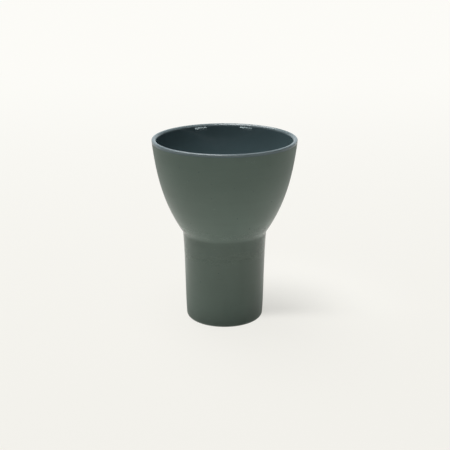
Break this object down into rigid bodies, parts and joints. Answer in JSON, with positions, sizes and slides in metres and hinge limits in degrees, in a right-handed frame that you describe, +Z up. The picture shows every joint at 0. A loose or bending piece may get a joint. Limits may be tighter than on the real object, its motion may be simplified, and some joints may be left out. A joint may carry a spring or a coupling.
{
  "type": "latte macchiato mug",
  "caption": "Tall handle-less ceramic drinking cup: a flaring bowl on a narrow tapered stem, matte outside, glossy dark glaze inside and over the lip.",
  "frame": {"origin": "centre of the foot, on the plane that the mug stands on", "axes": "+Z up along the axis that the mug is turned about, X and Y any two directions across it"},
  "size_m": [0.0926, 0.0926, 0.12],
  "materials": {
    "body_stoneware": "matte, smoothed, dark grey green",
    "floor_stoneware": "matte, unglazed underside",
    "gloss_glaze": "glossy dark blue grey glaze"
  },
  "bodies": {
    "root": {"bowl": "body_stoneware", "stem": "body_stoneware", "base_disc": "floor_stoneware", "glaze_lining": "gloss_glaze", "lip_glaze": "gloss_glaze"}
  },
  "joints": []
}
